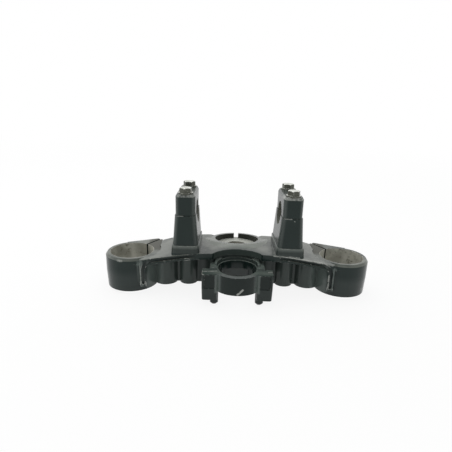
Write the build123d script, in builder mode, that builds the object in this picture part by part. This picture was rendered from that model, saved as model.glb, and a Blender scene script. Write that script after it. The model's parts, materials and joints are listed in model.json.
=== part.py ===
from build123d import *
import os
from math import acos, asin, atan2, cos, degrees, hypot, radians, sin, tan

os.makedirs("parts", exist_ok=True)

# Upper fork yoke with handlebar clamps, in millimetres. Z runs along the steering stem, Z = 0 is the
# lower face of the bridge, and the front of the motorcycle is towards -Y, so +X is the rider's left.
# The left half of the casting is modelled, then mirrored.

# Fork clamps
fork_spacing = 203.0
fork_offset = 25.0
fork_bore = 41.0
fork_wall = 4.3
clamp_height = 30.0
clamp_foot = -2.4
clamp_parting = 13.0
clamp_draft = 0.8
clamp_rim_inset = 1.6
clamp_rim_drop = 2.2
spot_face_margin = 2.8

# Pinch slit and bolt boss of each fork clamp
slit_angle = 32.0
slit_width = 1.8
pinch_reach = 20.0
pinch_nose = 3.2
pinch_foot = 3.0
pinch_bolt_reach = 8.6
pinch_bolt_height = 14.0
pinch_boss_radius = 8.4
pinch_seat = 13.0
pinch_thread_depth = 15.0

# Bridge plate
plate_top = 36.4
plate_thickness = 5.6
plate_shoulder = 47.0
plate_slope = 9.5
plate_bend = 120.0
plate_front = 49.3
plate_end = 76.0
plate_end_rear = 3.0
plate_rear_outer_x = 68.0
plate_rear_outer = 6.0
plate_rear_inner_x = 30.0
plate_rear_inner = 10.4
plate_edge = 0.5

# Arch in the plate's front edge, over the switch collar
arch_radius = 26.7
arch_half_width = 23.0
arch_apex = 32.5
arch_setback = 2.6
arch_wall_front = 41.0

# Channel along the plate's front edge and down the rib beside each fork clamp
channel_width = 3.0
channel_depth = 2.4
channel_start = 39.0
channel_shoulder_bend = 30.0
channel_lip = 0.8
channel_foot = 7.0
channel_bend = 10.0
rib_width = 5.6
rib_inset = 14.8
rib_depth = 12.0
rib_foot = 3.0
rib_foot_rear = 6.0
web_reach = 6.0
web_slope = 38.0
web_shoulder = 24.5
web_drop = 5.0

# Scalloped front wall and cored underside
wall = 4.6
core_height = 29.0
core_front = 28.0
core_rear_inset = 3.0
outer_scallop_x = 68.6
outer_scallop_y = 25.5
outer_scallop_radius = 11.5
inner_scallop_x = 46.5
inner_scallop_y = 26.0
inner_scallop_radius = 8.7
fairing_x = 77.0
fairing_y = 33.5
fairing_step = 1.8
pocket_depth = 24.0
outer_pocket_rear = 11.5
inner_pocket_rear = 5.0

# Steering stem
stem_bore = 22.2
stem_boss_radius = 25.5
nut_recess_radius = 22.0
nut_recess_depth = 7.2
land_radius = 32.0
land_crest = 24.0
land_rise = 2.6
land_tilt = 5.6
land_flare = 72.0
drain_notch = 4.6

# Ignition switch collar
collar_offset = 49.7
collar_radius = 22.9
collar_bore = 35.0
collar_top = 24.5
collar_bottom = 8.1
collar_step = 1.3
collar_step_height = 25.0
collar_ledge = 2.7
collar_ledge_height = 27.8
collar_relief_top = 17.0
collar_relief_width = 23.0
collar_relief_depth = 4.0

# Stepped arms that carry the collar
arm_inner = 14.0
upper_arm_outer = 20.5
upper_arm_front = 49.8
upper_arm_top = 28.5
lower_arm_outer = 24.8
lower_arm_front = 54.3
lower_arm_top = 26.5

# Lugs for the switch bolts
lug_inner = 17.3
lug_outer = 31.7
lug_front = 66.0
lug_depth = 14.0
lug_top = 24.5
lug_corner = 2.6
lug_parting = 11.0
lug_draft_angle = 2.0
lug_tail_inner = 16.7
lug_tail_width = 7.4
lug_tail_length = 9.0
lug_tail_corner = 3.2
lug_tail_drop = 5.8
lug_tail_edge = 1.8
lug_panel_inset = 2.8
lug_panel_depth = 0.8
lug_panel_head = 1.4
switch_bolt = 6.0
switch_bolt_depth = 14.0
switch_bolt_inset = 5.2

# Handlebar risers and caps
riser_spacing = 96.0
bar_diameter = 22.2
bar_offset = 22.4
bar_height = 71.1
cap_width = 17.8
cap_length = 46.0
cap_height = 19.4
cap_corner = 4.6
cap_rim_inset = 1.2
cap_rim_drop = 2.2
cap_rear_gap = 0.8
riser_corner = 5.4
riser_ledge = 0.7
riser_foot_height = 43.5
riser_foot_width = 23.2
riser_foot_length = 48.0
riser_foot_ledge = 0.8
riser_base_width = 26.6
riser_base_length = 52.0

# Bolts
bolt_clearance = 0.6
thread_clearance = 0.1
bolt_hole_spare = 3.0
head_chamfer_angle = 30.0
flange_thickness = 1.1
seat_clearance = 0.8
cap_bolt_size = 6.0
cap_bolt_flats = 10.0
cap_bolt_head = 5.2
cap_bolt_flange = 13.2
cap_bolt_length = 40.0
cap_bolt_spacing = 33.4
cap_bolt_turns = (12.0, 40.0, 25.0, 52.0)
pinch_bolt_size = 8.0
pinch_bolt_flats = 12.0
pinch_bolt_head = 6.0
pinch_bolt_flange = 15.4
pinch_bolt_length = 25.0

# Derived places
fork_x = fork_spacing / 2
fork_radius = fork_bore / 2
clamp_radius = fork_radius + fork_wall
pinch_tip = fork_radius + pinch_reach
pinch_axis = fork_radius + pinch_bolt_reach
rib_x = fork_x - rib_inset
rib_outer = rib_x + rib_width / 2
riser_x = riser_spacing / 2
cap_top = bar_height + cap_height
recess_floor = plate_top - nut_recess_depth
arch_center = arch_apex + arch_radius
channel_drop = channel_lip + channel_width / 2
lug_width = lug_outer - lug_inner
lug_rear = lug_front - lug_depth
through = 60.0
overlap = 1.0

# Plane on the fork's axis with X out along the pinch slit and Y across it, towards the stem
slit_direction = (-sin(radians(slit_angle)), cos(radians(slit_angle)), 0)
slit_plane = Plane((fork_x, -fork_offset, 0), x_dir=slit_direction, z_dir=(0, 0, 1))
# Plane in the slit with its normal along the pinch bolt, away from the stem
bolt_plane = Plane(
    slit_plane.from_local_coords((pinch_axis, 0, pinch_bolt_height)),
    x_dir=(0, 0, 1),
    z_dir=-slit_plane.y_dir,
)
# Plane of the land round the nut recess, which falls towards the rear
land_plane = Plane(
    (0, 0, plate_top),
    x_dir=(1, 0, 0),
    z_dir=(0, sin(radians(land_tilt)), cos(radians(land_tilt))),
)


def plate_height(x):
    return plate_top - (x - plate_shoulder) * tan(radians(plate_slope))


def plate_line(drop):
    return FilletPolyline(
        (0, plate_top - drop),
        (plate_shoulder, plate_top - drop),
        (fork_x, plate_height(fork_x) - drop),
        radius=plate_bend,
    )


with BuildPart() as half:
    # Bridge plate: a band that slopes down to the forks, cut to the plate's plan
    with BuildSketch(Plane.XZ):
        with BuildLine():
            upper = plate_line(0)
            lower = plate_line(plate_thickness)
            Line(upper @ 0, lower @ 0)
            Line(upper @ 1, lower @ 1)
        make_face()
    extrude(amount=through, both=True)
    with BuildSketch():
        with BuildLine():
            arch = CenterArc(
                (0, -arch_center), arch_radius, 90, -degrees(asin(arch_half_width / arch_radius))
            )
            Polyline(
                arch @ 1,
                (plate_shoulder, -plate_front),
                (rib_outer, -plate_front),
                (rib_outer, -fork_offset),
                (plate_end, -fork_offset / 2),
                (plate_end, plate_end_rear),
                (plate_rear_outer_x, plate_rear_outer),
                (plate_rear_inner_x, plate_rear_inner),
                (0, plate_rear_inner),
                arch @ 0,
            )
        make_face()
        Circle(stem_boss_radius)
    extrude(amount=through, mode=Mode.INTERSECT)
    chamfer(half.faces().sort_by(Axis.Y)[0].edges().group_by(Axis.Z)[-1], plate_edge)

    # Scalloped wall under the plate
    with BuildSketch():
        with BuildLine():
            Polyline(
                (0, -core_front),
                (fork_x - fork_radius, -core_front),
                (fork_x - fork_radius, -fork_offset / 2),
                (plate_end, plate_end_rear - core_rear_inset),
                (plate_rear_outer_x, plate_rear_outer - core_rear_inset),
                (plate_rear_inner_x, plate_rear_inner - core_rear_inset),
                (0, plate_rear_inner - core_rear_inset),
                close=True,
            )
        make_face()
        for x, y, radius in (
            (inner_scallop_x, inner_scallop_y, inner_scallop_radius),
            (outer_scallop_x, outer_scallop_y, outer_scallop_radius),
        ):
            with Locations((x, -y)):
                Circle(radius)
    extrude(amount=core_height)
    # Fairing that runs from the outer scallop to just behind the face of the rib
    with BuildSketch():
        Polygon(
            (fairing_x, -core_front),
            (fairing_x, -fairing_y),
            (rib_outer - rib_width, -plate_front + fairing_step),
            (rib_x, -plate_front + fairing_step),
            (rib_x, -core_front),
            align=None,
        )
    extrude(amount=clamp_height - rib_foot)

    # Stem boss, with a land for the nut recess that is raised at the front and falls to the rear
    with BuildSketch():
        Circle(stem_boss_radius)
    extrude(amount=plate_top)
    with BuildSketch(Plane.XZ):
        Polygon(
            (0, plate_top - overlap),
            (land_radius, plate_top - overlap),
            (land_radius, plate_top),
            (land_crest, plate_top + land_rise),
            (0, plate_top + land_rise),
            align=None,
        )
    revolve(axis=Axis((0, 0, 0), (0, 0, -1)), revolution_arc=180)
    with BuildSketch(land_plane):
        Circle(land_radius + overlap)
        Rectangle(2 * through, through, align=(Align.CENTER, Align.MAX), mode=Mode.INTERSECT)
    extrude(amount=land_rise + overlap, mode=Mode.SUBTRACT)
    with BuildSketch(land_plane):
        Circle(stem_boss_radius)
    extrude(amount=land_rise + overlap, taper=-land_flare, mode=Mode.SUBTRACT)

    # Wall under the arch
    with BuildSketch(Plane.XY.offset(collar_bottom)):
        with Locations((0, -arch_wall_front)):
            Rectangle(lower_arm_outer, arch_wall_front, align=(Align.MIN, Align.MIN))
        with Locations((0, -arch_center)):
            Circle(arch_radius + arch_setback, mode=Mode.SUBTRACT)
    extrude(amount=plate_top - plate_thickness / 2 - collar_bottom)

    # Switch collar with its raised rear ledge
    with BuildSketch(Plane.XY.offset(collar_bottom)):
        with Locations((0, -collar_offset)):
            Circle(collar_radius)
    extrude(amount=collar_top - collar_bottom)
    with BuildSketch(Plane.XY.offset(collar_bottom)):
        with Locations((0, -collar_offset)):
            Circle(collar_bore / 2 + collar_ledge)
        with Locations((0, -arch_wall_front)):
            Rectangle(
                lower_arm_outer, arch_wall_front, align=(Align.MIN, Align.MIN), mode=Mode.INTERSECT
            )
    extrude(amount=collar_ledge_height - collar_bottom)

    # Stepped arms beside the collar
    for outer, front, top in (
        (upper_arm_outer, upper_arm_front, upper_arm_top),
        (lower_arm_outer, lower_arm_front, lower_arm_top),
    ):
        with BuildSketch(Plane.XY.offset(collar_bottom)):
            with Locations((arm_inner, -front)):
                Rectangle(outer - arm_inner, front - core_front + overlap, align=(Align.MIN, Align.MIN))
        extrude(amount=top - collar_bottom)

    # Lug for a switch bolt, drawn in below its parting line, with a tail on its inner side
    lug_center = ((lug_inner + lug_outer) / 2, -(lug_front + lug_rear) / 2)
    with BuildSketch(Plane.XY.offset(lug_parting)) as lug_plan:
        with Locations(lug_center):
            Rectangle(lug_width, lug_depth)
        fillet(lug_plan.vertices().group_by(Axis.Y)[0], lug_corner)
    extrude(amount=lug_top - lug_parting)
    extrude(lug_plan.sketch, amount=lug_parting, dir=(0, 0, -1), taper=lug_draft_angle)
    with BuildSketch(Plane.XY.offset(lug_parting)):
        with Locations((lug_tail_inner + lug_tail_width / 2, lug_center[1])):
            RectangleRounded(lug_tail_width, lug_tail_length, lug_tail_corner)
    extrude(amount=-lug_parting - lug_tail_drop)
    chamfer(half.faces().sort_by(Axis.Z)[0].edges(), lug_tail_edge)

    # Fork clamp: a ring with a broken upper edge, drawn in below its parting line
    with BuildSketch(Plane((fork_x, -fork_offset, 0), x_dir=(1, 0, 0), z_dir=(0, -1, 0))):
        Polygon(
            (0, clamp_foot),
            (clamp_radius - clamp_draft, clamp_foot),
            (clamp_radius, clamp_parting),
            (clamp_radius, clamp_height - clamp_rim_drop),
            (clamp_radius - clamp_rim_inset, clamp_height),
            (0, clamp_height),
            align=None,
        )
    revolve(axis=Axis((fork_x, -fork_offset, 0), (0, 0, 1)))

    # Pinch lug: flanks that run from the ring to a blunt nose, and a round boss for the bolt
    for radius, foot, head in (
        (clamp_radius - clamp_draft, pinch_foot, clamp_parting),
        (clamp_radius, clamp_parting, clamp_height),
    ):
        flank_angle = atan2(pinch_nose, pinch_tip) + acos(radius / hypot(pinch_tip, pinch_nose))
        flank_x = radius * cos(flank_angle)
        flank_y = radius * sin(flank_angle)
        with BuildSketch(slit_plane.offset(foot)):
            Polygon(
                (0, 0),
                (flank_x, -flank_y),
                (pinch_tip, -pinch_nose),
                (pinch_tip, pinch_nose),
                (flank_x, flank_y),
                align=None,
            )
        extrude(amount=head - foot)
    with BuildSketch(bolt_plane.offset(-pinch_thread_depth)):
        Circle(pinch_boss_radius)
    extrude(amount=pinch_thread_depth + pinch_seat)

    # Rib beside the fork clamp, and the web that blends it into the clamp
    with BuildSketch(Plane.YZ.offset(rib_outer - rib_width)):
        Polygon(
            (-plate_front, rib_foot),
            (-plate_front, clamp_height - rib_foot),
            (-plate_front + rib_depth, clamp_height - rib_foot),
            (-plate_front + rib_depth, 0),
            (-plate_front + rib_foot_rear, 0),
            align=None,
        )
    extrude(amount=rib_width)
    web_end = -fork_offset - (clamp_radius**2 - web_reach**2) ** 0.5
    with BuildSketch(Plane.XY.offset(web_shoulder)) as web_plan:
        Polygon(
            (rib_x, -plate_front),
            (rib_outer, -plate_front),
            (fork_x - web_reach, web_end),
            (fork_x - web_reach, -fork_offset),
            (rib_x, -fork_offset),
            align=None,
        )
    extrude(amount=clamp_height - clamp_rim_drop - web_shoulder, taper=web_slope)
    extrude(web_plan.sketch, amount=web_drop, dir=(0, 0, -1), taper=web_slope)
    # Rim that rounds the inner corner between the plate and the rib
    with BuildSketch(Plane.XZ.offset(plate_front)):
        with BuildLine():
            FilletPolyline(
                (outer_scallop_x, plate_height(outer_scallop_x) - channel_drop),
                (rib_x, plate_height(rib_x) - channel_drop),
                (rib_x, channel_foot),
                radius=channel_bend,
            )
        trace(line_width=2 * channel_drop)
    extrude(amount=-rib_depth)

    # Handlebar riser on its flared base
    for sections in (
        (
            (plate_top - plate_thickness / 2, riser_base_width, riser_base_length, riser_corner),
            (
                riser_foot_height,
                riser_foot_width + 2 * riser_foot_ledge,
                riser_foot_length + 2 * riser_foot_ledge,
                riser_corner,
            ),
        ),
        (
            (riser_foot_height, riser_foot_width, riser_foot_length, riser_corner),
            (
                bar_height,
                cap_width + 2 * riser_ledge,
                cap_length + 2 * riser_ledge,
                cap_corner + riser_ledge,
            ),
        ),
    ):
        for height, width, length, corner in sections:
            with BuildSketch(Plane.XY.offset(height)):
                with Locations((riser_x, -bar_offset)):
                    RectangleRounded(width, length, corner)
        loft()

    # Flat machined top of the fork clamp
    with BuildSketch(Plane.XY.offset(clamp_height)):
        with Locations((fork_x, -fork_offset)):
            Circle(clamp_radius + spot_face_margin)
    extrude(amount=through, mode=Mode.SUBTRACT)

    # Fork bore, pinch slit, bolt seat and bolt hole
    with BuildSketch(Plane.XY.offset(-through)):
        with Locations((fork_x, -fork_offset)):
            Circle(fork_radius)
    extrude(amount=2 * through, mode=Mode.SUBTRACT)
    with BuildSketch(slit_plane.offset(clamp_foot)):
        with Locations((fork_radius / 2, 0)):
            Rectangle(through, slit_width, align=(Align.MIN, Align.CENTER))
    extrude(amount=clamp_height - clamp_foot, mode=Mode.SUBTRACT)
    with BuildSketch(bolt_plane.offset(pinch_seat)):
        Circle(pinch_bolt_flange / 2 + seat_clearance)
    extrude(amount=through, mode=Mode.SUBTRACT)
    with BuildSketch(bolt_plane):
        Circle((pinch_bolt_size + bolt_clearance) / 2)
    extrude(amount=through, mode=Mode.SUBTRACT)
    with BuildSketch(bolt_plane):
        Circle((pinch_bolt_size + thread_clearance) / 2)
    extrude(amount=-pinch_thread_depth, mode=Mode.SUBTRACT)

    # Channel in the front edge and rib
    with BuildSketch(Plane.XZ.offset(plate_front - channel_depth)):
        with BuildLine():
            FilletPolyline(
                (channel_start, plate_top - channel_drop),
                (plate_shoulder, plate_top - channel_drop),
                (rib_x, plate_height(rib_x) - channel_drop),
                (rib_x, channel_foot),
                radius=[channel_shoulder_bend, channel_bend],
            )
        trace(line_width=channel_width)
        with Locations((rib_x, channel_foot)):
            Circle(channel_width / 2)
    extrude(amount=through, mode=Mode.SUBTRACT)

    # Cored pockets behind the scallops
    with BuildSketch():
        for x, y, radius, rear in (
            (outer_scallop_x, outer_scallop_y, outer_scallop_radius - wall, outer_pocket_rear),
            (inner_scallop_x, inner_scallop_y, inner_scallop_radius - wall, inner_pocket_rear),
        ):
            with Locations((x, -y)):
                Circle(radius)
                Rectangle(2 * radius, y - rear, align=(Align.CENTER, Align.MIN))
    extrude(amount=pocket_depth, mode=Mode.SUBTRACT)

    # Switch collar bore, stepped and relieved at the rear
    with BuildSketch(Plane.XY.offset(-through)):
        with Locations((0, -collar_offset)):
            Circle(collar_bore / 2)
    extrude(amount=through + upper_arm_top, mode=Mode.SUBTRACT)
    with BuildSketch(Plane.XY.offset(collar_step_height)):
        with Locations((0, -collar_offset)):
            Circle(collar_bore / 2 + collar_step)
    extrude(amount=upper_arm_top - collar_step_height, mode=Mode.SUBTRACT)
    collar_rear = -collar_offset + collar_bore / 2
    with BuildSketch(Plane.YZ):
        Polygon(
            (-collar_offset, collar_bottom),
            (-collar_offset, collar_relief_top),
            (collar_rear, collar_relief_top),
            (collar_rear + collar_relief_depth, collar_bottom),
            align=None,
        )
    extrude(amount=collar_relief_width / 2, mode=Mode.SUBTRACT)

    # Panel in the front of the lug, and the switch bolt's hole
    with BuildSketch(Plane.XZ.offset(lug_front - lug_panel_depth)):
        with Locations((lug_center[0], lug_top - lug_panel_head)):
            Rectangle(
                lug_width - 2 * lug_panel_inset,
                lug_top - lug_panel_head - lug_parting,
                align=(Align.CENTER, Align.MAX),
            )
    extrude(amount=through, mode=Mode.SUBTRACT)
    with BuildSketch(Plane.XY):
        with Locations((lug_outer - switch_bolt_inset, lug_center[1])):
            Circle(switch_bolt / 2)
    extrude(amount=switch_bolt_depth, mode=Mode.SUBTRACT)

    # Stem bore, nut recess and drain notch
    with BuildSketch(Plane.XY):
        Circle(stem_bore / 2)
    extrude(amount=through, mode=Mode.SUBTRACT)
    with BuildSketch(Plane.XY.offset(recess_floor)):
        Circle(nut_recess_radius)
        with Locations((0, stem_boss_radius / 2)):
            Rectangle(drain_notch, stem_boss_radius, align=(Align.CENTER, Align.MIN))
    extrude(amount=through, mode=Mode.SUBTRACT)

    # Handlebar bore and the threaded holes of the cap bolts
    with BuildSketch(Plane.YZ):
        with Locations((-bar_offset, bar_height)):
            Circle(bar_diameter / 2)
    extrude(amount=2 * riser_x, mode=Mode.SUBTRACT)
    with BuildSketch(Plane.XY.offset(bar_height)):
        with Locations((riser_x, -bar_offset)):
            with GridLocations(0, cap_bolt_spacing, 1, 2):
                Circle((cap_bolt_size + thread_clearance) / 2)
    extrude(amount=cap_height - cap_bolt_length - bolt_hole_spare, mode=Mode.SUBTRACT)

    split(bisect_by=Plane.YZ)

with BuildPart() as yoke:
    add(half.part)
    mirror(about=Plane.YZ)
yoke.part.label = "yoke_casting"
export_step(yoke.part, "parts/yoke_casting.step")

with BuildPart() as left_cap:
    with BuildSketch(Plane.XY.offset(bar_height)):
        with Locations((riser_x, -bar_offset)):
            RectangleRounded(cap_width, cap_length, cap_corner)
    extrude(amount=cap_height)
    cap_face = left_cap.faces().sort_by(Axis.Z)[-1]
    chamfer(cap_face.edges(), cap_rim_inset, cap_rim_drop, reference=cap_face)
    # The front land meets the riser, and the rear land stands off it
    with BuildSketch(Plane.XY.offset(bar_height)):
        with Locations((riser_x, -bar_offset)):
            Rectangle(2 * cap_width, cap_length, align=(Align.CENTER, Align.MIN))
    extrude(amount=cap_rear_gap, mode=Mode.SUBTRACT)
    with BuildSketch(Plane.YZ):
        with Locations((-bar_offset, bar_height)):
            Circle(bar_diameter / 2)
    extrude(amount=2 * riser_x, mode=Mode.SUBTRACT)
    with BuildSketch(Plane.XY.offset(bar_height)):
        with Locations((riser_x, -bar_offset)):
            with GridLocations(0, cap_bolt_spacing, 1, 2):
                Circle((cap_bolt_size + bolt_clearance) / 2)
    extrude(amount=cap_height, mode=Mode.SUBTRACT)
left_cap.part.label = "left_bar_cap"
export_step(left_cap.part, "parts/left_bar_cap.step")

with BuildPart() as right_cap:
    mirror(left_cap.part, about=Plane.YZ)
right_cap.part.label = "right_bar_cap"
export_step(right_cap.part, "parts/right_bar_cap.step")


def flange_bolt(size, flats, head, flange, length):
    """Hexagon flange bolt that stands on Z = 0 with its shank below."""
    with BuildPart() as bolt:
        with BuildSketch():
            RegularPolygon(flats / 2, 6, major_radius=False, rotation=30)
        extrude(amount=head)
        # Crown: a larger hexagon, turned onto the corners and drawn in, breaks them
        with BuildSketch():
            RegularPolygon(
                flats / 2 + head / tan(radians(head_chamfer_angle)), 6, major_radius=False
            )
        extrude(amount=head, taper=90 - head_chamfer_angle, mode=Mode.INTERSECT)
        with BuildSketch():
            Circle(flange / 2)
        extrude(amount=flange_thickness)
        with BuildSketch():
            Circle(size / 2)
        extrude(amount=-length)
    return bolt.part


cap_bolt = flange_bolt(
    cap_bolt_size, cap_bolt_flats, cap_bolt_head, cap_bolt_flange, cap_bolt_length
)
with BuildPart() as cap_bolts:
    places = [
        (side * riser_x, -bar_offset + end * cap_bolt_spacing / 2, cap_top)
        for side in (1, -1)
        for end in (1, -1)
    ]
    for place, turn in zip(places, cap_bolt_turns):
        with Locations(Location(place, (0, 0, turn))):
            add(cap_bolt)
cap_bolts.part.label = "bar_cap_bolts"
export_step(cap_bolts.part, "parts/bar_cap_bolts.step")

pinch_bolt = flange_bolt(
    pinch_bolt_size, pinch_bolt_flats, pinch_bolt_head, pinch_bolt_flange, pinch_bolt_length
)
with BuildPart() as pinch_bolts:
    with Locations(bolt_plane.offset(pinch_seat).location):
        add(pinch_bolt)
    mirror(about=Plane.YZ)
pinch_bolts.part.label = "fork_pinch_bolts"
export_step(pinch_bolts.part, "parts/fork_pinch_bolts.step")
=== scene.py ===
import json
from math import radians

import bpy
import bmesh
from mathutils import Matrix, Vector

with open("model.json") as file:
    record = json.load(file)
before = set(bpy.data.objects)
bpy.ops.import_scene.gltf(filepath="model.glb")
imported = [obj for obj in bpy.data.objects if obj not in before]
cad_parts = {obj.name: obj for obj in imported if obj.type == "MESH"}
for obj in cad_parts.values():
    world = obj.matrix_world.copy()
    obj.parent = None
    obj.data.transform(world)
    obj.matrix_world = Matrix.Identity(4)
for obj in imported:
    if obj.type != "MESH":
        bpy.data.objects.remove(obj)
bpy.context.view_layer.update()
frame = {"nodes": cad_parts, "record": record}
yoke = frame["nodes"]["yoke_casting"]
mounts = {mount["name"]: mount for mount in frame["record"]["mounts"]}
mm = 0.001
print("frame loaded:", ", ".join(sorted(frame["nodes"])))


# Small helpers for node trees

def addNode(tree, kind, inputs=None, **settings):
    made = tree.nodes.new("ShaderNode" + kind)
    for name, value in settings.items():
        setattr(made, name, value)
    for name, value in (inputs or {}).items():
        if isinstance(value, bpy.types.NodeSocket):
            tree.links.new(value, made.inputs[name])
        else:
            made.inputs[name].default_value = value
    return made


def maths(tree, operation, first, second=0.0, clamp=False):
    made = addNode(tree, "Math", {0: first, 1: second}, operation=operation, use_clamp=clamp)
    return made.outputs[0]


def times(tree, first, second):
    return maths(tree, "MULTIPLY", first, second)


def most(tree, first, second):
    return maths(tree, "MAXIMUM", first, second)


def rest(tree, share):
    return maths(tree, "SUBTRACT", 1.0, share)


def vectorMaths(tree, operation, first, second=(0, 0, 0)):
    made = addNode(tree, "VectorMath", {0: first, 1: second}, operation=operation)
    givesNumber = operation in ("DISTANCE", "DOT_PRODUCT", "LENGTH")
    return made.outputs["Value" if givesNumber else "Vector"]


def separate(tree, vector):
    return addNode(tree, "SeparateXYZ", {0: vector}).outputs


def remap(tree, value, low, high, toLow=0.0, toHigh=1.0):
    made = addNode(
        tree, "MapRange",
        {"Value": value, "From Min": low, "From Max": high, "To Min": toLow, "To Max": toHigh},
        interpolation_type="SMOOTHSTEP",
    )
    return made.outputs[0]


def mixColour(tree, share, first, second):
    made = addNode(tree, "Mix", {0: share, 6: first, 7: second}, data_type="RGBA")
    return made.outputs[2]


def mixValue(tree, share, first, second):
    made = addNode(tree, "Mix", {0: share, 2: first, 3: second}, data_type="FLOAT")
    return made.outputs[0]


def grain(tree, place, size, detail, roughness):
    made = addNode(
        tree, "TexNoise",
        {"Vector": place, "Scale": 1 / size, "Detail": detail, "Roughness": roughness},
    )
    return made.outputs["Fac"]


def roundedBump(tree, radius, height, strength, distance):
    # Edges that look rounded by radius, with a fine grain on top
    rounded = addNode(tree, "Bevel", {"Radius": radius}, samples=6).outputs["Normal"]
    made = addNode(
        tree, "Bump",
        {"Strength": strength, "Distance": distance, "Height": height, "Normal": rounded},
    )
    return made.outputs["Normal"]


def startMaterial(name):
    made = bpy.data.materials.new(name)
    made.use_nodes = True
    tree = made.node_tree
    tree.nodes.clear()
    output = addNode(tree, "OutputMaterial")
    return made, tree, output


# Black paint over the casting with dust, painted light and painted shade, rubbed through here and
# there on its edges, bare in the bores

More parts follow.
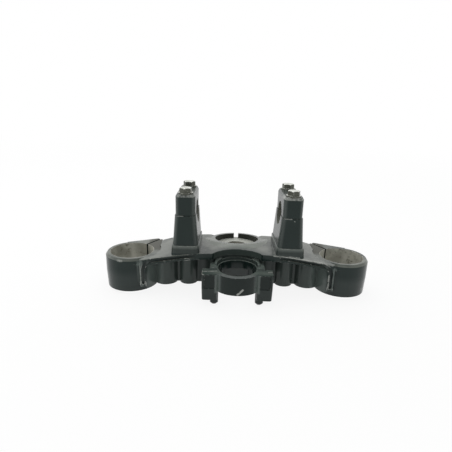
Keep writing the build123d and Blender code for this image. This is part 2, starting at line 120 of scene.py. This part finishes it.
paint = {
    "colour": (0.0070, 0.0165, 0.0142, 1),
    "tint": (0.0130, 0.0240, 0.0212, 1),
    # Painted shade on the front faces of the collar and lugs
    "shade": (0.0035, 0.0095, 0.0075, 1),
    # Painted floor light on the lower halves of the clamps and scallops and on the lugs' feet
    "floorLight": (0.038, 0.048, 0.045, 1),
    # Painted highlight on the round corners of the risers and caps
    "cornerHighlight": (0.062, 0.074, 0.069, 1),
    # Painted fill light in the recesses under the plate's front edge and on the fairings
    "recessFillLight": (0.052, 0.066, 0.060, 1),
    "fairingFillLight": (0.105, 0.128, 0.118, 1),
    # Painted fill light on the wall behind the collar
    "archFillLight": (0.045, 0.058, 0.052, 1),
    # Painted fill light in the valleys by the lugs and on the arms, and painted highlight along the
    # channels' rims
    "valleyFillLight": (0.120, 0.142, 0.132, 1),
    # Dust and painted sheen on what faces up
    "dust": (0.155, 0.165, 0.145, 1),
    # Painted light on the pads under the risers, lighter at their tops
    "padLight": (0.034, 0.043, 0.039, 1),
    "padCrownLight": (0.150, 0.168, 0.154, 1),
    # Painted light on the front slope of the land round the nut recess
    "landLight": (0.250, 0.268, 0.240, 1),
    # Painted fill light on the ledges round the collar, lighter towards the rear
    "ledgeFillLight": (0.110, 0.134, 0.120, 1),
    "rearFillLight": (0.230, 0.262, 0.238, 1),
    "metal": (0.46, 0.47, 0.44, 1),
    "bore": (0.54, 0.535, 0.475, 1),
    "boreDirt": (0.33, 0.325, 0.28, 1),
    "boreStain": (0.20, 0.195, 0.16, 1),
    "grip": (0.120, 0.123, 0.105, 1),
    "recess": (0.034, 0.036, 0.029, 1),
    "seat": (0.42, 0.43, 0.39, 1),
    "flat": (0.085, 0.086, 0.072, 1),
    "tip": (0.006, 0.006, 0.006, 1),
    # How strongly the thinner layers cover what is under them
    "thinDustSheenShare": 0.4,
    "wipedShare": 0.5,
    "floorLightShare": 0.6,
    "padShare": 0.8,
    "landShare": 0.9,
    # Share of the painted shade towards the plate's front edge
    "edgeShadeShare": 0.75,
    "shadeShare": 0.8,
    "footShare": 0.5,
    "faintShare": 0.42,
    # Shine
    "roughness": (0.10, 0.23),
    "riserRoughness": 0.27,
    "metalRoughness": 0.42,
    "seatRoughness": 0.55,
    "wornMetallic": 0.8,
    "bareMetallic": 0.25,
    "specular": 0.26,
    "bump": (0.05, 0.2 * mm),           # strength, depth
    # Grains: size, detail, roughness
    "blotches": (16 * mm, 3.0, 0.5),
    "castGrain": (1.6 * mm, 4.0, 0.6),
    "chips": (3.2 * mm, 5.0, 0.65),
    "crumbs": (2.4 * mm, 4.0, 0.6),
    "stains": (4.5 * mm, 5.0, 0.65),
    # The part of a grain over which something comes in
    "dustSpan": (0.15, 0.7),
    "edgeSpan": (0.14, 0.42),
    "faintSpan": (0.52, 0.70),
    "rubSpan": (0.34, 0.50),
    "scratchSpan": (0.30, 0.46),
    "chalkSpan": (0.20, 0.66),
    "dirtSpan": (0.35, 0.65),
    "stainSpan": (0.52, 0.70),
    "castSpan": (0.3, 0.7),
    # Sizes and places on the casting
    "edgeReach": 1.0 * mm,
    "edgeRound": 0.7 * mm,
    "flatHeight": 30 * mm,
    "levelMargin": 0.1 * mm,
    "levelFacing": 0.9,
    "recessRadius": 22.2 * mm,
    "archCentre": (0, -59.2 * mm, 0),
    "boreMargin": 0.15 * mm,
    "collarInside": 28 * mm,            # no painted fill light in the collar's bore below this height
    "tipHeight": -3.6 * mm,
    # Edges that are rubbed more than the rest: two ends in millimetres, reach, strength
    "rubs": (
        ((32, -47.2, 36.2), (47, -49.3, 36.2), 1.1, 0.6),
        ((47, -49.3, 36.2), (87, -49.3, 29.6), 1.1, 0.7),
        ((33, -47.4, 36.2), (35, -47.7, 36.2), 1.8, 1.0),
        ((45, -49.3, 36.2), (50, -49.3, 35.8), 1.7, 1.0),
        ((84.5, -49.3, 29.9), (86.5, -49.3, 29.6), 1.5, 1.0),
        ((85.1, -49.3, 19), (85.1, -49.3, 6), 0.8, 0.9),
        ((85.1, -49.3, 6), (88.2, -49.3, 5.2), 1.0, 0.9),
        ((-88.3, -49.3, 25), (-88.3, -49.3, 17), 1.0, 0.55),
        ((-88.3, -49.3, 16), (-88.2, -49.3, 8), 0.9, 0.5),
        ((-88, -49.3, 6.5), (-85, -49.3, 6.2), 1.6, 1.0),
        ((-108.6, -48.6, 28.4), (-106, -49.0, 28.4), 1.4, 0.9),
        ((-47.5, -49.2, 31), (-44.5, -49.2, 31), 1.0, 0.8),
        ((-56.5, -45.8, 71.1), (-50.5, -46.2, 71.1), 0.7, 0.55),
        ((39.6, -45.4, 71.2), (46, -46.0, 71.2), 0.8, 0.7),
        ((-55.5, -47.3, 43.4), (-39.5, -47.2, 43.4), 0.8, 0.45),
        ((39.8, -46.9, 43.4), (46, -47.3, 43.4), 0.8, 0.6),
        ((-31.7, -58.0, 24.5), (-30.8, -65.5, 24.5), 1.0, 0.8),
        ((31.7, -57.0, 24.5), (28.5, -57.0, 24.5), 1.0, 0.6),
    ),
    # Bare marks on open faces
    "scratches": (
        ((0.2, -72.6, 9.4), (4.6, -72.0, 13.6), 0.6, 0.65),
        ((49.2, -46.1, 69.2), (49.8, -46.1, 68.9), 0.25, 0.45),
        ((118.2, -42.4, 4.0), (119.2, -41.6, 1.6), 0.6, 0.22),
    ),
    # Painted highlight bands along the outer rims of the channels
    "rimHighlights": (
        ((-89.6, -49.2, 27.0), (-89.0, -49.2, 5.0), 1.9, 0.75),
        ((89.6, -49.2, 25.0), (89.4, -49.2, 6.0), 1.3, 0.6),
    ),
    # Chalky, broken wear on the caps' upper edges, the lugs, the right clamp and the plate's lip
    "chalk": (
        ((-55.5, -44.9, 89.4), (-40.5, -44.9, 89.4), 0.9, 0.75),
        ((-40.2, -44.2, 89.4), (-39.7, -38.0, 89.4), 0.8, 0.5),
        ((40.5, -44.9, 89.4), (55.5, -44.9, 89.4), 1.0, 0.85),
        ((40.2, -44.2, 89.4), (39.7, -33.0, 89.4), 0.9, 0.7),
        ((-30.7, -59.2, 24.5), (-18.7, -57.3, 24.5), 0.5, 0.75),
        ((28.0, -57.4, 24.5), (31.0, -56.7, 24.5), 0.5, 0.8),
        ((-109.4, -48.3, 28.2), (-105.8, -49.2, 28.0), 0.7, 0.6),
        ((34, -47.4, 36.3), (47, -49.1, 36.1), 0.6, 0.3),
        ((47, -49.1, 36.1), (56, -49.1, 35.2), 0.8, 0.7),
        ((56, -49.1, 35.2), (87, -49.1, 29.5), 0.6, 0.5),
    ),
    # Where each layer lies. A fade names what it follows, where it starts and where it is full, and
    # also the shares there when they aren't 0 and 1. In millimetres: x from the middle to either
    # side, left towards the rider's left, y to the rear, z up, stem and arch from the axes of the
    # stem and of the arch over the collar. Without a unit: up and side, for how far a face looks
    # upwards or to a side
    "fades": {
        "plateAndClamps": (("z", 26.5, 28), ("z", 40, 38)),
        "facingUp": (("up", 0.55, 1.0),),
        "facingUpOnPlate": (("up", 0.30, 0.68),),
        "frontRim": (("y", -66, -60, 0.2, 1.0),),
        "wiped": (("left", 84, 90), ("y", -28, -22)),
        "lowerHalf": (("z", 20, 10), ("x", 38, 45.6)),
        "riserCorners": (("side", 0.15, 0.75), ("z", 42, 45), ("side", 0.90, 0.985, 1.0, 0.2)),
        "recesses": (
            ("y", -48.8, -47), ("y", -25, -28), ("z", 29, 26), ("x", 34, 38), ("x", 85, 82),
        ),
        "fairings": (("x", 68, 73),),
        "archWall": (("x", 37, 33), ("y", -45, -43), ("z", 37, 36), ("up", 0.6, 0.3)),
        "ledges": (("up", 0.5, 0.9), ("y", -24, -28), ("z", 31, 29), ("x", 36, 34)),
        "behindRim": (("y", -66, -60, 0.13, 0.55),),
        "behindCollar": (("y", -53, -49, 0.0, 0.45),),
        "rearLedge": (("y", -42, -35),),
        "pads": (("z", 36.2, 36.8), ("z", 43.8, 43.2), ("x", 28, 32)),
        "padCrowns": (("z", 39.5, 43.5),),
        "landFront": (
            ("up", 0.985, 0.960), ("up", 0.85, 0.92), ("stem", 33.5, 32.5),
            ("z", 35.5, 36), ("y", 3, -5),
        ),
        "overArch": (("arch", 36.2, 26.7),),
        "besideArch": (("y", -38, -47), ("x", 20, 25)),
        "plateMiddle": (("x", 37, 33), ("z", 35.3, 35.8), ("up", 0.6, 0.85)),
        "collarFront": (("y", -50, -54), ("x", 37, 36), ("up", 0.6, 0.3)),
        "lugFeet": (("z", 12, 10.5), ("x", 16, 18)),
        "valleys": (("x", 13.5, 17.5), ("x", 21, 18.5), ("z", 6, 8)),
        "arms": (
            ("x", 12, 14), ("x", 27, 26), ("y", -57, -55.5), ("y", -46.5, -48),
            ("z", 24.4, 24.9), ("up", 0.6, 0.3),
        ),
        "clampFlats": (("x", 93, 88), ("y", -30, -18)),
        "risers": (("z", 42, 44),),
    },
}
upright = (1, 1, 0)      # the axes square to a bore along z
crosswise = (0, 1, 1)    # the axes square to a bore along x


def readSurface(tree):
    # The place on the casting, and everything that a fade can follow
    place = addNode(tree, "TexCoord").outputs["Object"]
    along = separate(tree, place)
    facing = separate(tree, addNode(tree, "NewGeometry").outputs["Normal"])
    across = vectorMaths(tree, "MULTIPLY", place, upright)
    follow = {
        "x": maths(tree, "ABSOLUTE", along["X"]),
        "left": along["X"],
        "y": along["Y"],
        "z": along["Z"],
        "up": facing["Z"],
        "side": maths(tree, "ABSOLUTE", facing["X"]),
        "stem": vectorMaths(tree, "LENGTH", across),
        "arch": vectorMaths(tree, "DISTANCE", across, paint["archCentre"]),
    }
    return place, follow


def fadeMask(tree, follow, name):
    share = 1.0
    for what, start, end, *ends in paint["fades"][name]:
        unit = 1.0 if what in ("up", "side") else mm
        share = times(tree, share, remap(tree, follow[what], start * unit, end * unit, *ends))
    return share


def levelMask(tree, follow, height):
    # 1 on what faces up at one height
    near = {0: follow["z"], 1: height, 2: paint["levelMargin"]}
    level = addNode(tree, "Math", near, operation="COMPARE").outputs[0]
    return times(tree, level, maths(tree, "GREATER_THAN", follow["up"], paint["levelFacing"]))


def boreMask(tree, place, name, across):
    # 1 inside a round bore of the casting
    mount = mounts[name]
    centre = [value * keep for value, keep in zip(mount["pos_m"], across)]
    apart = vectorMaths(tree, "DISTANCE", vectorMaths(tree, "MULTIPLY", place, across), centre)
    return maths(tree, "LESS_THAN", apart, mount["dims"]["r_mm"] * mm + paint["boreMargin"])


def alongMask(tree, place, start, end, reach, strength):
    # Fades from strength on the line between two places to 0 at twice its reach
    start, end = Vector(start) * mm, Vector(end) * mm
    run = end - start
    out = vectorMaths(tree, "SUBTRACT", place, start)
    share = vectorMaths(tree, "DOT_PRODUCT", out, run / run.length_squared)
    share = maths(tree, "MULTIPLY", share, 1.0, clamp=True)
    near = addNode(tree, "VectorMath", {0: run, "Scale": share}, operation="SCALE").outputs[0]
    apart = vectorMaths(tree, "DISTANCE", out, near)
    return remap(tree, apart, reach * mm, 2 * reach * mm, strength, 0.0)


def strongest(tree, place, marks):
    found = 0.0
    for mark in marks:
        found = most(tree, found, alongMask(tree, place, *mark))
    return found


# Dust, painted light and painted shade on the casting's paint
def layDustAndLight(tree, place, follow, blotches):
    def fade(name):
        return fadeMask(tree, follow, name)

    # Paint that varies a little, with dust and a painted sheen on what faces up
    colour = mixColour(tree, blotches, paint["colour"], paint["tint"])
    thinDustSheen = times(tree, fade("facingUp"), paint["thinDustSheenShare"])
    lightened = mixValue(tree, fade("plateAndClamps"), thinDustSheen, fade("facingUpOnPlate"))
    lightened = times(tree, lightened, remap(tree, blotches, *paint["dustSpan"]))
    # Less of it on the collar's front rim, and wiped off the far rim of the left clamp
    lightened = times(tree, lightened, fade("frontRim"))
    wiped = times(tree, fade("wiped"), paint["wipedShare"])
    lightened = times(tree, lightened, rest(tree, wiped))
    colour = mixColour(tree, lightened, colour, paint["dust"])
    # Painted floor light on the lower half of the clamps and scallops
    floorLit = times(tree, fade("lowerHalf"), paint["floorLightShare"])
    colour = mixColour(tree, floorLit, colour, paint["floorLight"])
    # Painted highlight on the round corners of the risers and caps, less on their flat sides
    colour = mixColour(tree, fade("riserCorners"), colour, paint["cornerHighlight"])
    # Painted fill light in the recesses under the plate's front edge, lighter on the fairings
    recessLit = mixColour(tree, fade("fairings"), paint["recessFillLight"], paint["fairingFillLight"])
    colour = mixColour(tree, fade("recesses"), colour, recessLit)
    # Painted fill light on the wall behind the collar
    inside = boreMask(tree, place, "switch_collar", upright)
    inside = times(tree, inside, maths(tree, "LESS_THAN", follow["z"], paint["collarInside"]))
    arch = times(tree, fade("archWall"), rest(tree, inside))
    colour = mixColour(tree, arch, colour, paint["archFillLight"])
    # Painted fill light on the ledges and upper faces round the collar, lighter towards the rear
    rearwards = maths(tree, "ADD", fade("behindRim"), fade("behindCollar"))
    ledgeLit = mixColour(tree, fade("rearLedge"), paint["ledgeFillLight"], paint["rearFillLight"])
    colour = mixColour(tree, times(tree, fade("ledges"), rearwards), colour, ledgeLit)
    # Painted light on the pads under the risers, lighter towards their tops as on a rounded edge
    padLit = mixColour(tree, fade("padCrowns"), paint["padLight"], paint["padCrownLight"])
    colour = mixColour(tree, times(tree, fade("pads"), paint["padShare"]), colour, padLit)
    # Painted light on the front slope of the land round the nut recess
    land = times(tree, fade("landFront"), paint["landShare"])
    colour = mixColour(tree, land, colour, paint["landLight"])
    # Painted shade towards the plate's front edge between the risers, as on a more rounded edge
    edgeShade = most(tree, fade("overArch"), fade("besideArch"))
    edgeShade = times(tree, edgeShade, fade("plateMiddle"))
    return mixColour(tree, times(tree, edgeShade, paint["edgeShadeShare"]), colour, paint["tint"])


def shadeCollar(tree, place, follow, colour):
    # Painted shade on the front faces of the collar and lugs, with painted floor light on the feet
    # of the lugs
    front = fadeMask(tree, follow, "collarFront")
    colour = mixColour(tree, times(tree, front, paint["shadeShare"]), colour, paint["shade"])
    feet = times(tree, fadeMask(tree, follow, "lugFeet"), front)
    colour = mixColour(tree, times(tree, feet, paint["footShare"]), colour, paint["floorLight"])
    # Painted fill light in the valleys between lugs and collar and on the arms, and painted
    # highlights along the channels' rims
    lightened = times(tree, fadeMask(tree, follow, "valleys"), front)
    lightened = most(tree, lightened, fadeMask(tree, follow, "arms"))
    lightened = most(tree, lightened, strongest(tree, place, paint["rimHighlights"]))
    colour = mixColour(tree, lightened, colour, paint["valleyFillLight"])
    # Black tips of the lug tails
    tips = maths(tree, "LESS_THAN", follow["z"], paint["tipHeight"])
    return mixColour(tree, tips, colour, paint["tip"])


def wearMask(tree, place):
    # Edges rubbed down to the metal, faintly all over and more in some places
    reach = {"Distance": paint["edgeReach"]}
    hidden = addNode(tree, "AmbientOcclusion", reach, inside=True, samples=12).outputs["AO"]
    edge = remap(tree, rest(tree, hidden), *paint["edgeSpan"])
    chips = grain(tree, place, *paint["chips"])
    faint = times(tree, remap(tree, chips, *paint["faintSpan"]), paint["faintShare"])
    rubbed = strongest(tree, place, paint["rubs"])
    rubbed = times(tree, remap(tree, chips, *paint["rubSpan"]), rubbed)
    worn = times(tree, edge, most(tree, faint, rubbed))
    # Scratches and chalky wear, also away from the edges
    scratched = strongest(tree, place, paint["scratches"])
    scratched = times(tree, scratched, remap(tree, chips, *paint["scratchSpan"]))
    worn = most(tree, worn, scratched)
    crumbs = grain(tree, place, *paint["crumbs"])
    chalky = strongest(tree, place, paint["chalk"])
    chalky = times(tree, chalky, remap(tree, crumbs, *paint["chalkSpan"]))
    return most(tree, worn, chalky)


def makeBlackPaint():
    made, tree, output = startMaterial("blackPaint")
    place, follow = readSurface(tree)
    blotches = grain(tree, place, *paint["blotches"])
    colour = layDustAndLight(tree, place, follow, blotches)
    colour = shadeCollar(tree, place, follow, colour)
    worn = wearMask(tree, place)

    # Dirty handlebar bores and bare walls of the other bores
    grip = boreMask(tree, place, "handlebar_clamp", crosswise)
    colour = mixColour(tree, grip, colour, paint["grip"])
    bare = 0.0
    for name in ("left_fork_clamp", "right_fork_clamp", "stem_bore"):
        bare = most(tree, bare, boreMask(tree, place, name, upright))
    dirt = remap(tree, blotches, *paint["dirtSpan"])
    bareColour = mixColour(tree, dirt, paint["bore"], paint["boreDirt"])
    stains = remap(tree, grain(tree, place, *paint["stains"]), *paint["stainSpan"])
    bareColour = mixColour(tree, stains, bareColour, paint["boreStain"])
    # Machined flat on top of each clamp, thinly painted on the side of the slit
    flat = levelMask(tree, follow, paint["flatHeight"])
    flat = times(tree, flat, fadeMask(tree, follow, "clampFlats"))
    colour = mixColour(tree, flat, colour, paint["flat"])
    # Dirty wall of the nut recess and its bare, machined floor
    seatHeight = mounts["stem_nut_seat"]["pos_m"][2]
    hollow = maths(tree, "LESS_THAN", follow["stem"], paint["recessRadius"])
    hollow = times(tree, hollow, maths(tree, "GREATER_THAN", follow["z"], seatHeight))
    colour = mixColour(tree, hollow, colour, paint["recess"])
    seat = levelMask(tree, follow, seatHeight)
    bareColour = mixColour(tree, seat, bareColour, paint["seat"])
    bare = most(tree, bare, seat)

    colour = mixColour(tree, worn, colour, paint["metal"])
    colour = mixColour(tree, bare, colour, bareColour)
    metal = most(
        tree, times(tree, worn, paint["wornMetallic"]), times(tree, bare, paint["bareMetallic"])
    )
    fine = grain(tree, place, *paint["castGrain"])
    rough = remap(tree, fine, *paint["castSpan"], *paint["roughness"])
    rough = mixValue(tree, fadeMask(tree, follow, "risers"), rough, paint["riserRoughness"])
    rough = mixValue(tree, most(tree, worn, bare), rough, paint["metalRoughness"])
    rough = mixValue(tree, most(tree, seat, flat), rough, paint["seatRoughness"])
    bump = roundedBump(tree, paint["edgeRound"], fine, *paint["bump"])
    shader = addNode(
        tree, "BsdfPrincipled",
        {"Base Color": colour, "Metallic": metal, "Roughness": rough, "Normal": bump,
         "Specular IOR Level": paint["specular"]},
    )
    tree.links.new(shader.outputs[0], output.inputs["Surface"])
    return made


# Dull zinc plating of the bolts

zinc = {
    "colour": (0.66, 0.675, 0.63, 1),
    "stain": (0.40, 0.40, 0.35, 1),
    # Darker colour for the sides of the heads
    "darkSide": (0.090, 0.094, 0.078, 1),
    "roughness": (0.31, 0.48),
    "metallic": 0.9,
    "bump": (0.08, 0.1 * mm),           # strength, depth
    "edgeRound": 0.35 * mm,
    # Grains: size, detail, roughness
    "fine": (0.9 * mm, 3.0, 0.5),
    "stains": (5 * mm, 4.0, 0.6),
    "fineSpan": (0.3, 0.7),
    "stainSpan": (0.42, 0.72),
    "sideFacing": (0.6, 0.2),          # how far up a face looks where the darkening starts and is full
    "sideSpan": (0.25, 0.5, 0.6, 1.0),
}


def makeZinc():
    made, tree, output = startMaterial("zincPlate")
    place = addNode(tree, "TexCoord").outputs["Object"]
    stains = grain(tree, place, *zinc["stains"])
    fine = grain(tree, place, *zinc["fine"])
    stained = remap(tree, stains, *zinc["stainSpan"])
    colour = mixColour(tree, stained, zinc["colour"], zinc["stain"])
    # Darker, in patches, on the sides of the heads
    upward = separate(tree, addNode(tree, "NewGeometry").outputs["Normal"])["Z"]
    sideDark = remap(tree, upward, *zinc["sideFacing"])
    sideDark = times(tree, sideDark, remap(tree, stains, *zinc["sideSpan"]))
    colour = mixColour(tree, sideDark, colour, zinc["darkSide"])
    rough = remap(tree, fine, *zinc["fineSpan"], *zinc["roughness"])
    bump = roundedBump(tree, zinc["edgeRound"], fine, *zinc["bump"])
    shader = addNode(
        tree, "BsdfPrincipled",
        {"Base Color": colour, "Roughness": rough, "Normal": bump, "Metallic": zinc["metallic"]},
    )
    tree.links.new(shader.outputs[0], output.inputs["Surface"])
    return made


blackPaint = makeBlackPaint()
zincPlate = makeZinc()
for name, node in frame["nodes"].items():
    node.data.materials.clear()
    node.data.materials.append(zincPlate if name.endswith("bolts") else blackPaint)
print("finishes on", len(frame["nodes"]), "nodes")


# Floor: it leans so that the two lug tails and the stem boss all rest on it

floorPlan = {
    "half": 6.0,
    "colour": (0.88, 0.88, 0.875, 1),
    "leanFrom": 10 * mm,        # the lean is set by what lies further behind the lug tails than this
    "white": 0.88,              # share of plain white that the camera sees near the object
    "whiteFrom": 0.25,
    "whiteTo": 1.2,
}


def makeFloor():
    corners = [vertex.co for vertex in yoke.data.vertices]
    low = min(corners, key=lambda co: co.z)
    behind = [co for co in corners if co.y - low.y > floorPlan["leanFrom"]]
    slope = min((co.z - low.z) / (co.y - low.y) for co in behind)
    form = bmesh.new()
    bmesh.ops.create_grid(form, x_segments=1, y_segments=1, size=floorPlan["half"])
    for vertex in form.verts:
        vertex.co.z = low.z + slope * (vertex.co.y - low.y)
    mesh = bpy.data.meshes.new("floor")
    form.to_mesh(mesh)
    form.free()
    floor = bpy.data.objects.new("floor", mesh)
    bpy.context.scene.collection.objects.link(floor)

    made, tree, output = startMaterial("paleFloor")
    path = addNode(tree, "LightPath").outputs
    seen = most(tree, path["Is Camera Ray"], path["Is Glossy Ray"])
    seen = most(tree, seen, path["Is Transmission Ray"])
    away = vectorMaths(tree, "LENGTH", addNode(tree, "TexCoord").outputs["Object"])
    share = remap(
        tree, away, floorPlan["whiteFrom"], floorPlan["whiteTo"], floorPlan["white"], 1.0
    )
    matt = addNode(tree, "BsdfDiffuse", {"Color": floorPlan["colour"]})
    white = addNode(tree, "Emission", {"Color": (1, 1, 1, 1), "Strength": 1.0})
    both = addNode(
        tree, "MixShader",
        {0: times(tree, share, seen), 1: matt.outputs[0], 2: white.outputs[0]},
    )
    tree.links.new(both.outputs[0], output.inputs["Surface"])
    mesh.materials.append(made)


makeFloor()
print("floor in place")


# Light: a white room behind and above, a darker one behind the camera, and two soft lamps

room = {
    "front": (0.55, 0.56, 0.56, 1),
    "back": (1.0, 1.0, 1.0, 1),
    "turn": (-0.55, 0.25),      # where the front turns into the back, along y
}
lamps = (
    {"name": "overhead", "place": (-0.15, 0.25, 0.95), "size": 0.9, "power": 3.0},
    {"name": "side", "place": (-0.95, -0.10, 0.45), "size": 0.7, "power": 1.6},
)
lampAim = (0, -0.02, 0.04)


def makeRoom():
    world = bpy.data.worlds.new("room")
    world.use_nodes = True
    bpy.context.scene.world = world
    tree = world.node_tree
    tree.nodes.clear()
    depth = separate(tree, addNode(tree, "TexCoord").outputs["Generated"])["Y"]
    colour = mixColour(tree, remap(tree, depth, *room["turn"]), room["front"], room["back"])
    sky = addNode(tree, "Background", {"Color": colour, "Strength": 1.0})
    output = addNode(tree, "OutputWorld")
    tree.links.new(sky.outputs[0], output.inputs["Surface"])


def makeLamp(plan):
    light = bpy.data.lights.new(plan["name"], "AREA")
    light.shape = "SQUARE"
    light.size = plan["size"]
    light.energy = plan["power"]
    lamp = bpy.data.objects.new(plan["name"], light)
    lamp.location = plan["place"]
    aim = Vector(lampAim) - lamp.location
    lamp.rotation_euler = aim.to_track_quat("-Z", "Y").to_euler()
    bpy.context.scene.collection.objects.link(lamp)


makeRoom()
for plan in lamps:
    makeLamp(plan)
print("room and", len(lamps), "lamps")


# Camera where the photograph was taken from

shot = {
    "place": (-12.41 * mm, -361.80 * mm, 159.73 * mm),
    "yaw": -0.18,
    "pitch": -16.98,
    "roll": -1.69,
    "focal": 370.22,            # in pixels of the frame
    "frame": 452,
    "sensor": 36.0,
    "clipStart": 0.01,
}


def makeCamera():
    lens = bpy.data.cameras.new("shot")
    lens.sensor_width = shot["sensor"]
    lens.lens = shot["focal"] * shot["sensor"] / shot["frame"]
    lens.clip_start = shot["clipStart"]
    camera = bpy.data.objects.new("shot", lens)
    bpy.context.scene.collection.objects.link(camera)
    camera.matrix_world = (
        Matrix.Translation(shot["place"])
        @ Matrix.Rotation(radians(shot["yaw"]), 4, "Z")
        @ Matrix.Rotation(radians(90 + shot["pitch"]), 4, "X")
        @ Matrix.Rotation(radians(-shot["roll"]), 4, "Z")
    )
    bpy.context.scene.camera = camera


makeCamera()
bpy.context.scene.view_settings.view_transform = "Standard"
print("camera set")
